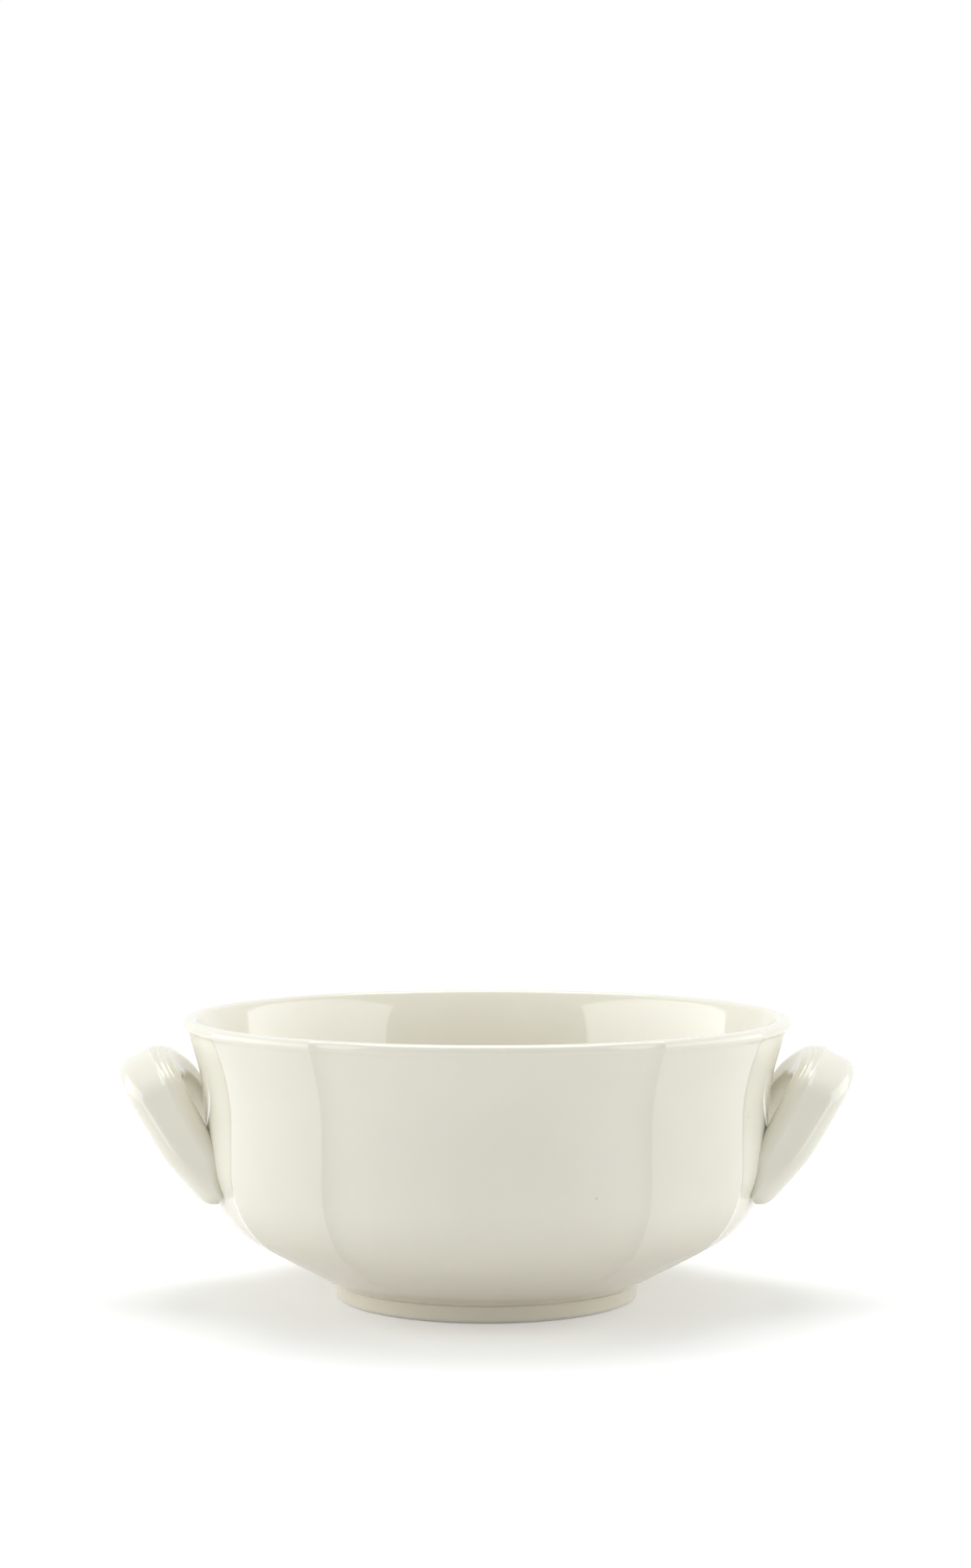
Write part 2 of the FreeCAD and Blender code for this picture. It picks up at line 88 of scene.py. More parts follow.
# corners of its side view: reach beyond the wall, height, rounding
SIDE_VIEW = (
    (-ROOT_DEPTH, HEEL_HEIGHT, HIDDEN_ROUND),
    (1.8, HEEL_HEIGHT, 3.0),
    (9.0, 31.3, 24.0),
    (22.5, 55.0, HIDDEN_ROUND),
    (10.3, 59.0, HIDDEN_ROUND),
    (-ROOT_DEPTH, 32.2, HIDDEN_ROUND),
)
# its front view, seen along its lean
ARM_HALF_WIDTH = 24.7
ARM_SPLAY = math.radians(18.9)
SHOULDER_ROUND = 8.0
ARCH_HEIGHT = 32.1
ARCH_ROUND = 21.9
WINDOW_HEIGHT = 23.2
WINDOW_HALF_WIDTH = 9.0
WINDOW_SPLAY = math.radians(14.0)
WINDOW_ROUND = 6.5

# Softer and finer forms of a handle than in the part's source

# the rounding of its edges. The inner edge's turns into the outer one's over a distance
# outwards, which starts this far inside the leaning line up from the heels
OUTER_EDGE = 3.0
INNER_EDGE = 4.4
WINDOW_EDGE = 1.9
EDGE_CHANGE_START = 3.5
EDGE_CHANGE = 5.0
# fine flutes along its inner edge, by their depth in from that edge
FLUTES = (0.75, 1.65, 2.55)
FLUTE_DEPTH = 0.12
FLUTE_WIDTH = 0.27
# a bead line beside them, which turns over the shoulder at its top, with a round corner
BEAD_DEPTH = 3.5
BEAD_HEIGHT = 0.22
BEAD_WIDTH = 0.42
BEAD_TOP = 52.6
BEAD_TURN = 1.2
# both fade out down the arm, and from the inner half of the handle to the outer
RELIEF_END = 43.5
RELIEF_FADE = 5.0
INNER_HALF_END = 1.0
INNER_HALF_FADE = 2.0

# Points of the meshes

BODY_COLUMNS = 420
# the body's columns are denser at a crease by this factor, within about this angle
CREASE_DENSITY = 5.0
CREASE_REACH = 0.035
OUTER_COUNTS = {"belly": 18, "wall": 5, "flare": 22, "lip": 10}
INNER_COUNTS = {"belly": 18, "wall": 5, "flare": 10, "lip": 8}
HANDLE_STATIONS = 180
HANDLE_RING = 120
SHARP_ANGLE = math.radians(38.0)
# a radius and a squared length that count as none
ON_AXIS = 1e-6
NO_LENGTH = 1e-12


# The body: one closed grid of rings, from the base up the outside and down the inside

def arc_points(cx, cz, radius, start, end, count):
    """Points (r, z) along an arc of the meridian, both ends included."""
    a = np.linspace(start, end, count)
    return np.column_stack((cx + radius * np.cos(a), cz + radius * np.sin(a)))


def line_points(a, b, count):
    """Points (r, z) along a straight piece of the meridian."""
    t = np.linspace(0.0, 1.0, count)[:, None]
    return np.asarray(a, float) * (1.0 - t) + np.asarray(b, float) * t


def flare_points(flare_r, radius, turn, count):
    """The flare up to the lip, with points closer together towards the lip."""
    crowding = 1.7
    t = 1.0 - (1.0 - np.linspace(0.0, 1.0, count)) ** crowding
    a = math.pi - turn * t
    return np.column_stack((flare_r + radius * np.cos(a), FLARE_START + radius * np.sin(a)))


def under_lip(z):
    """Depth of the hollow under the lip: short above its deepest line, long below it."""
    reach = np.where(z > LIP_HOLLOW_HEIGHT, LIP_HOLLOW_ABOVE, LIP_HOLLOW_BELOW)
    return LIP_HOLLOW * np.exp(-(((z - LIP_HOLLOW_HEIGHT) / reach) ** 2))


def wall_meridian(depth, counts):
    """The wall's stretches at a depth inside its outer face: belly, wall, flare and lip.

    With them come the point where the cone meets the belly, and the angle of its normal.
    """
    cone_r = FOOT_RADIUS + FOOT_TAPER + LEDGE_WIDTH
    across = WALL_RADIUS - BELLY_RADIUS
    rise = BELLY_RADIUS - (cone_r - across) * math.sin(CONE_ANGLE)
    belly_z = FOOT_HEIGHT + rise / math.cos(CONE_ANGLE)
    radius = BELLY_RADIUS - depth
    normal = CONE_ANGLE - QUARTER
    cone_end = (across + radius * math.cos(normal), belly_z + radius * math.sin(normal))
    foot_of_wall = (WALL_RADIUS - depth, belly_z)
    top_of_wall = (WALL_RADIUS - depth, FLARE_START)
    flare_r = WALL_RADIUS + FLARE_RADIUS
    flare_radius = FLARE_RADIUS + depth
    to_lip = flare_radius - LIP_ROUND if depth else flare_radius + LIP_ROUND
    turn = math.asin((BOWL_HEIGHT - LIP_ROUND - FLARE_START) / to_lip)
    lip = (flare_r - to_lip * math.cos(turn), BOWL_HEIGHT - LIP_ROUND)
    lip_start = math.pi - turn if depth else -turn
    return {
        "cone_end": cone_end,
        "normal": normal,
        "belly": arc_points(across, belly_z, radius, normal, 0.0, counts["belly"]),
        "wall": line_points(foot_of_wall, top_of_wall, counts["wall"]),
        "flare": flare_points(flare_r, flare_radius, turn, counts["flare"]),
        "lip": arc_points(*lip, LIP_ROUND, lip_start, QUARTER, counts["lip"]),
    }


def smooth_step(t):
    """0 up to t = 0, 1 from t = 1, and smooth between."""
    t = np.clip(t, 0.0, 1.0)
    return t * t * (3.0 - 2.0 * t)


def panel_rise(z):
    """How proud a narrow panel stands at a height: least at the foot, full above the fade."""
    return LEAST_RISE + (PANEL_RISE - LEAST_RISE) * smooth_step((z - FOOT_HEIGHT) / FADE_HEIGHT)


def panelled_radius(radius, z, phi):
    """The outer radius at an angle phi from the middle of the nearest narrow panel."""
    rise = panel_rise(z)
    beyond = np.minimum((np.abs(phi) - NARROW_HALF_ANGLE) / FLANK_ANGLE, 1.0)
    flank = rise * (1.0 - beyond) ** FLANK_HOLLOW
    # the lower of panel and flank, with the crease between them a little soft
    near = np.maximum(CREASE_SOFTNESS - np.abs(flank - rise), 0.0)
    return radius + np.minimum(flank, rise) - near**2 / (4.0 * CREASE_SOFTNESS)


def from_narrow_panel(theta):
    """The angle from the middle of the nearest narrow panel, which lie on the diagonals."""
    return np.mod(theta, QUARTER) - QUARTER / 2.0


def column_angles(count):
    """Angles round the body, closer together at the creases."""
    steps = 24000
    fine = np.linspace(0.0, 2.0 * math.pi, steps + 1)
    from_crease = np.abs(from_narrow_panel(fine)) - NARROW_HALF_ANGLE
    density = 1.0 + CREASE_DENSITY * np.exp(-((from_crease / CREASE_REACH) ** 2))
    along = np.concatenate(([0.0], np.cumsum(density[1:])))
    return np.interp(np.arange(count) / count * along[-1], along, fine)


def body_rings():
    """Rows (r, z, is_outer) of the closed meridian.

    They run from the middle of the base out and round the foot ring, up the outside, over
    the lip, and down the inside to the middle of the floor.
    """
    outer = wall_meridian(0.0, OUTER_COUNTS)
    inner = wall_meridian(WALL_THICKNESS, INNER_COUNTS)
    base_z = FOOT_HEIGHT
    foot_inside = FOOT_RADIUS - FOOT_WIDTH
    recess_r = foot_inside - FOOT_TAPER - RECESS_ROUND
    rest_inside = foot_inside + FOOT_ROUND
    rest_outside = FOOT_RADIUS - FOOT_ROUND
    foot_top = (FOOT_RADIUS + FOOT_TAPER, base_z)
    ledge = (FOOT_RADIUS + FOOT_TAPER + LEDGE_WIDTH, base_z)
    outer["flare"][:, 0] -= under_lip(outer["flare"][:, 1])
    cone_end, normal = inner["cone_end"], inner["normal"]
    dish_z = FLOOR_HEIGHT + FLOOR_BLEND
    drop = FLOOR_BLEND - (dish_z - cone_end[1]) * math.cos(CONE_ANGLE)
    dish_r = cone_end[0] - drop / math.sin(CONE_ANGLE)
    dish = arc_points(dish_r, dish_z, FLOOR_BLEND, normal, -QUARTER, count=8)
    rows = []

    def begin(points, is_outer):
        """Add a stretch that starts at a point of its own."""
        rows.extend((r, z, is_outer) for r, z in points)

    def carry_on(points, is_outer):
        """Add a stretch that starts where the last one ended."""
        begin(points[1:], is_outer)

    begin(line_points((0.0, base_z), (recess_r, base_z), count=4), False)
    recess = arc_points(recess_r, base_z - RECESS_ROUND, RECESS_ROUND, QUARTER, 0.0, count=5)
    carry_on(recess, False)
    begin(arc_points(rest_inside, FOOT_ROUND, FOOT_ROUND, math.pi, 1.5 * math.pi, count=7), False)
    carry_on(line_points((rest_inside, 0.0), (rest_outside, 0.0), count=3), False)
    carry_on(arc_points(rest_outside, FOOT_ROUND, FOOT_ROUND, -QUARTER, 0.0, count=7), False)
    carry_on(line_points((FOOT_RADIUS, FOOT_ROUND), foot_top, count=3), False)
    begin(line_points(ledge, outer["cone_end"], count=12), True)
    for stretch in ("belly", "wall", "flare", "lip"):
        carry_on(outer[stretch], True)
    begin(inner["lip"][::-1], False)
    for stretch in ("flare", "wall", "belly"):
        carry_on(inner[stretch][::-1], False)
    carry_on(line_points(cone_end, dish[0], count=4), False)
    carry_on(dish, False)
    carry_on(line_points(dish[-1], (0.0, FLOOR_HEIGHT), count=5), False)
    return rows


def mesh_object(name, points, faces):
    """An object whose mesh has these points, given in millimetres."""
    mesh = bpy.data.meshes.new(name)
    mesh.from_pydata([tuple(p) for p in points * MM], [], faces)
    mesh.validate()
    mesh.update()
    made = bpy.data.objects.new(name, mesh)
    bpy.context.collection.objects.link(made)
    return made


def turned(name, rows, columns):
    """A closed mesh of revolution, panelled where a row belongs to the outer face."""
    theta = column_angles(columns)
    phi = from_narrow_panel(theta)
    points = []
    rings = []
    for r, z, is_outer in rows:
        if r < ON_AXIS:
            rings.append([len(points)])
            points.append((0.0, 0.0, z))
            continue
        radius = panelled_radius(r, z, phi) if is_outer else np.full(columns, r)
        start = len(points)
        points.extend(np.column_stack(
            (radius * np.cos(theta), radius * np.sin(theta), np.full(columns, z))))
        rings.append(list(range(start, start + columns)))
    faces = []
    for low, high in zip(rings, rings[1:]):
        for i in range(columns):
            j = (i + 1) % columns
            if len(low) == 1:
                faces.append((low[0], high[j], high[i]))
            elif len(high) == 1:
                faces.append((low[i], low[j], high[0]))
            else:
                faces.append((low[i], low[j], high[j], high[i]))
    return mesh_object(name, np.array(points), faces)


# A handle's form, as a distance that is negative inside it

def blend_max(a, b, k):
    """The larger of two distances, with the edge between them rounded to radius k."""
    rounded = np.hypot(np.maximum(a + k, 0.0), np.maximum(b + k, 0.0))
    return np.minimum(np.maximum(a, b), -k) + rounded


def unit(a):
    """Vectors along the last axis, made one long."""
    return a / np.linalg.norm(a, axis=-1, keepdims=True)


def rounded_outline(corners, steps=14):
    """A closed outline (x, y) round a polygon, each corner rounded by its own radius."""
    outline = []
    count = len(corners)
    for i in range(count):
        here = np.array(corners[i][:2])
        before = unit(np.array(corners[i - 1][:2]) - here)
        after = unit(np.array(corners[(i + 1) % count][:2]) - here)
        half = math.acos(float(before @ after)) / 2.0
        radius = corners[i][2]
        centre = here + unit(before + after) * radius / math.sin(half)
        start = here + before * radius / math.tan(half) - centre
        end = here + after * radius / math.tan(half) - centre
        low = math.atan2(start[1], start[0])
        sweep = (math.atan2(end[1], end[0]) - low + math.pi) % (2.0 * math.pi) - math.pi
        for angle in low + sweep * np.linspace(0.0, 1.0, steps):
            outline.append(centre + radius * np.array((math.cos(angle), math.sin(angle))))
    return np.array(outline)


class Outline:
    """Signed distance to a closed outline, read from a grid."""

    def __init__(self, outline, low, high, pitch):
        self.low, self.pitch = np.array(low), pitch
        axes = [np.arange(low[i], high[i] + pitch, pitch) for i in (0, 1)]
        x, y = np.meshgrid(*axes, indexing="ij")
        start, end = outline, np.roll(outline, -1, axis=0)
        best = np.full(x.shape, np.inf)
        inside = np.zeros(x.shape, bool)
        for (ax, ay), (bx, by) in zip(start, end):
            dx, dy = bx - ax, by - ay
            length = dx * dx + dy * dy
            if length < NO_LENGTH:
                continue
            t = np.clip(((x - ax) * dx + (y - ay) * dy) / length, 0.0, 1.0)
            best = np.minimum(best, np.hypot(x - ax - t * dx, y - ay - t * dy))
            if ay != by:
                crosses = (ay > y) != (by > y)
                inside ^= crosses & (x < ax + (y - ay) / (by - ay) * dx)
        self.grid = np.where(inside, -best, best)

    def __call__(self, x, y):
        """The distance at points (x, y), blended between the grid's four nearest."""
        # the last thousandth keeps a point on the far border within the last cell
        i = np.clip((x - self.low[0]) / self.pitch, 0, self.grid.shape[0] - 1.001)
        j = np.clip((y - self.low[1]) / self.pitch, 0, self.grid.shape[1] - 1.001)
        i0, j0 = i.astype(int), j.astype(int)
        fi, fj = i - i0, j - j0
        g = self.grid
        return ((g[i0, j0] * (1 - fi) + g[i0 + 1, j0] * fi) * (1 - fj)
                + (g[i0, j0 + 1] * (1 - fi) + g[i0 + 1, j0 + 1] * fi) * fj)


def front_outline():
    """The outline (y, v) of the two arms, their shoulders and the arched top."""
    below_heel = 16.0
    way = np.array((-math.sin(ARM_SPLAY), math.cos(ARM_SPLAY)))
    beside = np.array((ARM_HALF_WIDTH, 0.0)) - SHOULDER_ROUND * np.array((way[1], -way[0]))
    arch = np.array((0.0, ARCH_HEIGHT - ARCH_ROUND))
    along = (arch - beside) @ way
    apart = (arch - beside) @ (arch - beside) - along**2
    centre = beside + way * (along + math.sqrt((ARCH_ROUND - SHOULDER_ROUND) ** 2 - apart))
    turn = math.atan2(centre[1] - arch[1], centre[0])
    half = [np.array((ARM_HALF_WIDTH, 0.0)) - below_heel * way]
    half += list(arc_points(*centre, SHOULDER_ROUND, ARM_SPLAY, turn, count=16))
    half += list(arc_points(*arch, ARCH_ROUND, turn, QUARTER, count=24)[1:])
    half = np.array(half)
    return np.vstack((half, half[-2::-1] * (-1.0, 1.0)))


side_view = Outline(
    rounded_outline([(WALL_RADIUS + reach, z, radius) for reach, z, radius in SIDE_VIEW]),
    low=(54.0, 18.0), high=(86.0, 63.0), pitch=0.1,
)
front_view = Outline(front_outline(), low=(-34.0, -16.0), high=(34.0, 42.0), pitch=0.15)


def up_arm(x, z):
    """How far up the lean of the arms a point lies, from the heels."""
    return (x - WALL_RADIUS) * math.sin(LEAN) + (z - HEEL_HEIGHT) * math.cos(LEAN)


def out_of_arm(r, z):
    """How far outwards a point lies, from the leaning line up from the wall at the heels."""
    return (r - WALL_RADIUS) * math.cos(LEAN) - (z - HEEL_HEIGHT) * math.sin(LEAN)


def inner_half(w):
    """1 on the inner half of a handle, which faces the wall, and 0 on its outer half."""
    return smooth_step((INNER_HALF_END - w) / INNER_HALF_FADE)


def relief(depth, w, z):
    """Flutes (+) and bead (-) at a depth in from the inner edge."""
    keep = smooth_step((z - RELIEF_END) / RELIEF_FADE) * inner_half(w)
    flutes = sum(np.exp(-(((depth - at) / FLUTE_WIDTH) ** 2)) for at in FLUTES)
    bead = blend_max(BEAD_DEPTH - depth, z - BEAD_TOP, BEAD_TURN)
    return keep * (FLUTE_DEPTH * flutes - BEAD_HEIGHT * np.exp(-((bead / BEAD_WIDTH) ** 2)))


def handle_form(p):
    """Distance outside the handle's form, and negative inside it."""
    x, y, z = p[..., 0], p[..., 1], p[..., 2]
    r = np.hypot(x, y)
    v = up_arm(x, z)
    w = out_of_arm(r, z)
    to_outer = smooth_step((w + EDGE_CHANGE_START) / EDGE_CHANGE)
    edge = INNER_EDGE + (OUTER_EDGE - INNER_EDGE) * to_outer
    side = side_view(r, z)
    form = blend_max(side, front_view(y, v), edge) + relief(-side, w, z)
    above = v - WINDOW_HEIGHT
    beside = np.abs(y) - WINDOW_HALF_WIDTH + above * math.tan(WINDOW_SPLAY)
    window = blend_max(beside * math.cos(WINDOW_SPLAY), above, WINDOW_ROUND)
    return blend_max(form, -window, WINDOW_EDGE)


# A handle's mesh: a tube whose points lie where rays from its middle line leave the form

UP_ARM = np.array((math.sin(LEAN), 0.0, math.cos(LEAN)))
THROUGH = np.array((math.cos(LEAN), 0.0, -math.sin(LEAN)))
ACROSS = np.array((0.0, 1.0, 0.0))
UPWARD = np.array((0.0, 0.0, 1.0))
ARM_HEEL = np.array((WALL_RADIUS, 0.0, HEEL_HEIGHT))

# the middle line in the front view: how far an arm leans in, and the turn round the
# window's corner
MID_SPLAY = math.radians(16.5)
TURN_CENTRE = (3.9, 16.7)
TURN_RADIUS = 10.95
# the middle line in the side view: the turn up from the wall, with the angle at which it starts
ROOT_CENTRE = (57.0, 34.4)
ROOT_RADIUS = 7.2
ROOT_START = -1.36
# the surface that it lies on in the arms: how far inside the leaning line, and how round
MIDDLE_DEPTH = 0.7
MIDDLE_RADIUS = 68.0
# the straight stretch of arm, from its lower to its upper end, as distances below the turn
ARM_STRETCH = (9.0, 0.4)
ROOT_SECTIONS = 16
ARM_SECTIONS = 9
SHOULDER_SECTIONS = 24


def in_arms(y, v):
    """The point on the middle surface of the handle at y, and v up its arms."""
    sag = MIDDLE_RADIUS - math.sqrt(MIDDLE_RADIUS**2 - y**2)
    depth = -MIDDLE_DEPTH - sag * math.cos(LEAN)
    return ARM_HEEL + v * UP_ARM + depth * THROUGH + y * ACROSS


def root_section(share, start_y, start_v):
    """Centre and direction of the root's section at a share of its turn up to the arm."""
    beta = ROOT_START + share * (-ROOT_START - LEAN)
    r = ROOT_CENTRE[0] + ROOT_RADIUS * math.cos(beta)
    z = ROOT_CENTRE[1] + ROOT_RADIUS * math.sin(beta)
    # y depends on x, and x on y: a first guess settles in a few rounds
    y = 20.0
    for _ in range(6):
        x = math.sqrt(r * r - y * y)
        y = start_y + (start_v - up_arm(x, z)) * math.tan(MID_SPLAY)
    radial = np.array((x, y, 0.0)) / r
    tangent = np.array((-y, x, 0.0)) / r
    up = math.cos(beta) * UPWARD - math.sin(beta) * radial
    splay = MID_SPLAY * share
    return r * radial + z * UPWARD, math.cos(splay) * up - math.sin(splay) * tangent


def half_arch():
    """Centres and directions of travel from the root at +Y to the middle of the crossbar."""
    turn_y, turn_v = TURN_CENTRE
    start_y = turn_y + TURN_RADIUS * math.cos(MID_SPLAY)
    start_v = turn_v + TURN_RADIUS * math.sin(MID_SPLAY)
    shares = np.linspace(0.0, 1.0, ROOT_SECTIONS)
    sections = [root_section(share, start_y, start_v) for share in shares]
    up = math.cos(MID_SPLAY) * UP_ARM - math.sin(MID_SPLAY) * ACROSS
    for down in np.linspace(*ARM_STRETCH, ARM_SECTIONS):
        beside = start_y + down * math.sin(MID_SPLAY)
        below = start_v - down * math.cos(MID_SPLAY)
        sections.append((in_arms(beside, below), up))
    for turn in np.linspace(MID_SPLAY, QUARTER, SHOULDER_SECTIONS):
        y = turn_y + TURN_RADIUS * math.cos(turn)
        v = turn_v + TURN_RADIUS * math.sin(turn)
        sections.append((in_arms(y, v), math.cos(turn) * UP_ARM - math.sin(turn) * ACROSS))
    sections.append((in_arms(0.0, turn_v + TURN_RADIUS), -ACROSS))
    centres, ways = zip(*sections)
    return np.array(centres), np.array(ways)


def resampled(values, along, count):
    """Values at even steps along a line, from values at uneven ones."""
    t = np.linspace(0.0, along[-1], count)
    return np.column_stack([np.interp(t, along, values[:, i]) for i in range(values.shape[1])])


def whole_arch(stations):
    """Centres and directions of travel of the sections, from one root to the other."""
    centres, ways = half_arch()
    flip = np.array((1.0, -1.0, 1.0))
    centres = np.vstack((centres, centres[-2::-1] * flip))
    ways = np.vstack((ways, -ways[-2::-1] * flip))
    along = np.concatenate(([0.0], np.cumsum(np.linalg.norm(np.diff(centres, axis=0), axis=1))))
    return resampled(centres, along, stations), unit(resampled(ways, along, stations))


def section_points(centres, ways, rays):
    """For each section, the points where rays from its centre leave the handle's form."""
    # each round moves the points on by a share of their distance to the surface
    rounds, share = 90, 0.9
    through = unit(THROUGH - (ways @ THROUGH)[:, None] * ways)
    outward = np.cross(through, ways)
    angle = np.arange(rays) * 2.0 * math.pi / rays
    way = (np.cos(angle)[None, :, None] * outward[:, None, :]
           + np.sin(angle)[None, :, None] * through[:, None, :])
    reach = np.zeros((len(centres), rays))
    for _ in range(rounds):
        reach -= share * handle_form(centres[:, None, :] + reach[..., None] * way)
    return centres[:, None, :] + reach[..., None] * way


def point_weights(points):
    """How many of a ring's points each stretch gets: by length, turn and relief."""
    turn_weight, relief_density = 0.9, 2.0
    outer_reach, relief_reach, fade = 3.5, BEAD_DEPTH + 2.0, 1.5
    step = np.roll(points, -1, axis=1) - points
    length = np.linalg.norm(step, axis=2)
    heading = unit(step)
    turn = np.arccos(np.clip(np.sum(heading * np.roll(heading, 1, axis=1), axis=2), -1.0, 1.0))
    x, y, z = points[..., 0], points[..., 1], points[..., 2]
    r = np.hypot(x, y)
    # closer together on the relief, and evenly so from one section to the next
    outside = smooth_step((front_view(y, up_arm(x, z)) + outer_reach) / fade)
    near_edge = smooth_step((relief_reach + side_view(r, z)) / fade)
    fluted = outside * near_edge * inner_half(out_of_arm(r, z))
    turned_by = (turn + np.roll(turn, -1, axis=1)) / 2.0
    return length * (1.0 + relief_density * fluted) + turn_weight * turned_by


def spread_evenly(points, weight, ring):
    """Each section's outline with as many points as the ring has, spread by their weights."""
    spread = np.zeros((len(points), ring, 3))
    for s, outline in enumerate(points):
        t = np.concatenate(([0.0], np.cumsum(weight[s])))
        closed = np.vstack((outline, outline[:1]))
        want = np.arange(ring) * t[-1] / ring
        for axis in range(3):
            spread[s, :, axis] = np.interp(want, t, closed[:, axis])
    return spread


def tube_faces(stations, ring):
    """Faces between the sections' rings, and fans to the two cap points that follow them."""
    faces = []
    for s in range(stations - 1):
        for i in range(ring):
            j = (i + 1) % ring
            faces.append((s * ring + i, s * ring + j, (s + 1) * ring + j, (s + 1) * ring + i))
    last = stations * ring
    for i in range(ring):
        j = (i + 1) % ring
        faces.append((last, j, i))
        faces.append((last + 1, last - ring + i, last - ring + j))
    return faces


def handle_object(name, stations, ring, side):
    """One closed tube along the arch, on the +X side or mirrored to the -X side."""
    rays_per_point = 4
    points = section_points(*whole_arch(stations), rays_per_point * ring)
    sections = spread_evenly(points, point_weights(points), ring)
    caps = np.array((sections[0].mean(axis=0), sections[-1].mean(axis=0)))
    mirror = np.array((side, 1.0, 1.0))
    faces = tube_faces(stations, ring)
    if side < 0:
        faces = [face[::-1] for face in faces]
    return mesh_object(name, np.vstack((sections.reshape(-1, 3), caps)) * mirror, faces)


# The bowl: body and handles united into one piece

def outward_facing(obj):
    """Turn the faces round if the closed mesh has a negative volume."""
    bm = bmesh.new()
    bm.from_mesh(obj.data)
    if bm.calc_volume(signed=True) < 0.0:
        bmesh.ops.reverse_faces(bm, faces=bm.faces)
        bm.to_mesh(obj.data)
    bm.free()


def joined(base, others):
    """Unite closed meshes into one, and drop the others."""
    for other in others:
        union = base.modifiers.new("union", "BOOLEAN")
        union.operation = "UNION"
        union.solver = "EXACT"
        union.object = other
    bpy.context.view_layer.update()
    graph = bpy.context.evaluated_depsgraph_get()
    mesh = bpy.data.meshes.new_from_object(base.evaluated_get(graph))
    base.modifiers.clear()
    base.data = mesh
    for other in others:
        bpy.data.objects.remove(other)


bowl = turned("bowl", body_rings(), BODY_COLUMNS)
handles = [
    handle_object("handle_right", HANDLE_STATIONS, HANDLE_RING, 1.0),
    handle_object("handle_left", HANDLE_STATIONS, HANDLE_RING, -1.0),
]
for piece in (bowl, *handles):
    outward_facing(piece)
joined(bowl, handles)
bowl.data.shade_smooth()
bowl.data.set_sharp_from_angle(angle=SHARP_ANGLE)
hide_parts("soup_bowl")
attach(bowl, "root")


# Helpers for material nodes

def linked(tree, kind, inputs, **settings):
    """A new node of this kind: its settings, and its inputs as numbers or as sockets to link."""
    made = tree.nodes.new(kind)
    for key, value in settings.items():
        setattr(made, key, value)
    for key, value in inputs.items():
        if isinstance(value, bpy.types.NodeSocket):
            tree.links.new(value, made.inputs[key])
        else:
            made.inputs[key].default_value = value
    return made


def band(tree, value, low, high):
    """0 up to low, 1 from high, smooth between; where low is the larger, it runs downwards."""
    made = linked(tree, "ShaderNodeMapRange", {"Value": value, "From Min": low, "From Max": high},
                  interpolation_type="SMOOTHSTEP", clamp=True)
    return made.outputs["Result"]


def blend(tree, share, a, b):
    """Colour a, turning into colour b as the share rises to 1."""
    made = linked(tree, "ShaderNodeMix", {0: share, 6: a, 7: b}, data_type="RGBA")
    return made.outputs[2]


def between(tree, share, low, high):
    """A number that goes from low to high as the share rises from 0 to 1."""
    made = linked(tree, "ShaderNodeMapRange", {"Value": share, "To Min": low, "To Max": high})
    return made.outputs["Result"]


def math_node(tree, operation, a, b):
    """One sum of two numbers or sockets, such as MULTIPLY or MAXIMUM."""
    return linked(tree, "ShaderNodeMath", {0: a, 1: b}, operation=operation).outputs[0]


def noise(tree, place, scale, detail):
    """Smooth noise from 0 to 1, with about this many lumps to the metre."""
    inputs = {"Vector": place, "Scale": scale, "Detail": detail}
    return linked(tree, "ShaderNodeTexNoise", inputs).outputs["Fac"]


# The glaze

IVORY = (0.808, 0.783, 0.682, 1.0)
IVORY_CLOUD = (0.793, 0.764, 0.658, 1.0)
# darker, warmer ivory painted low on the body: painted shade and a painted warm reflection from
# below
IVORY_PAINTED_SHADE = (0.795, 0.742, 0.62, 1.0)
SPECK = (0.52, 0.44, 0.33, 1.0)
BISCUIT = (0.78, 0.76, 0.71, 1.0)
SPECK_SHARE = 0.45

GLAZE_IOR = 1.6
# how much of the light enters the clay, how deep, and each colour's share of that depth
GLAZE_MILKINESS = 0.2
GLAZE_DEPTH = 2.5 * MM
GLAZE_TINT = (1.0, 0.8, 0.5)
GLAZE_ROUGHNESS = (0.05, 0.09)
BARE_ROUGHNESS = 0.65

# noises, in lumps or cells to the metre
CLOUD_SCALE = 38.0
SHEEN_SCALE = 60.0
RIPPLE_SCALE = 70.0
CELL_SCALE = 130.0
GRAIN_SCALE = 2600.0
RIPPLE_HEIGHT = 0.08 * MM
GRAIN_HEIGHT = 0.04 * MM

# where an effect sets in and where it is complete: values of the noise
CLOUD_BAND = (0.4, 0.7)
POLISH_BAND = (0.3, 0.75)
# the distance from a cell's middle, which makes a round spot, and the cell's own random number
SPOT_BAND = (0.042, 0.024)
PICK_BAND = (0.5, 0.55)
# heights above the floor
# the painted shade low on the body: none above the first height, full below the second
PAINTED_SHADE_BAND = (26.0 * MM, 4.0 * MM)
BARE_BAND = (0.45 * MM, 0.25 * MM)


def glaze_color(tree, place, height, bare):
    """Ivory with faint clouds and rare specks, painted darker and warmer low down as shade and
    reflection, and bare where it rests.
    """
    clouds = noise(tree, place, CLOUD_SCALE, detail=3.0)
    color = blend(tree, band(tree, clouds, *CLOUD_BAND), IVORY, IVORY_CLOUD)
    # painted shade and painted reflection: darker, warmer ivory low down
    color = blend(tree, band(tree, height, *PAINTED_SHADE_BAND), color, IVORY_PAINTED_SHADE)
    cells = linked(tree, "ShaderNodeTexVoronoi", {"Vector": place, "Scale": CELL_SCALE})
    spot = band(tree, cells.outputs["Distance"], *SPOT_BAND)
    pick = linked(tree, "ShaderNodeSeparateColor", {0: cells.outputs["Color"]}).outputs["Red"]
    specks = math_node(tree, "MULTIPLY", spot, band(tree, pick, *PICK_BAND))
    color = blend(tree, math_node(tree, "MULTIPLY", specks, SPECK_SHARE), color, SPECK)
    return blend(tree, bare, color, BISCUIT)


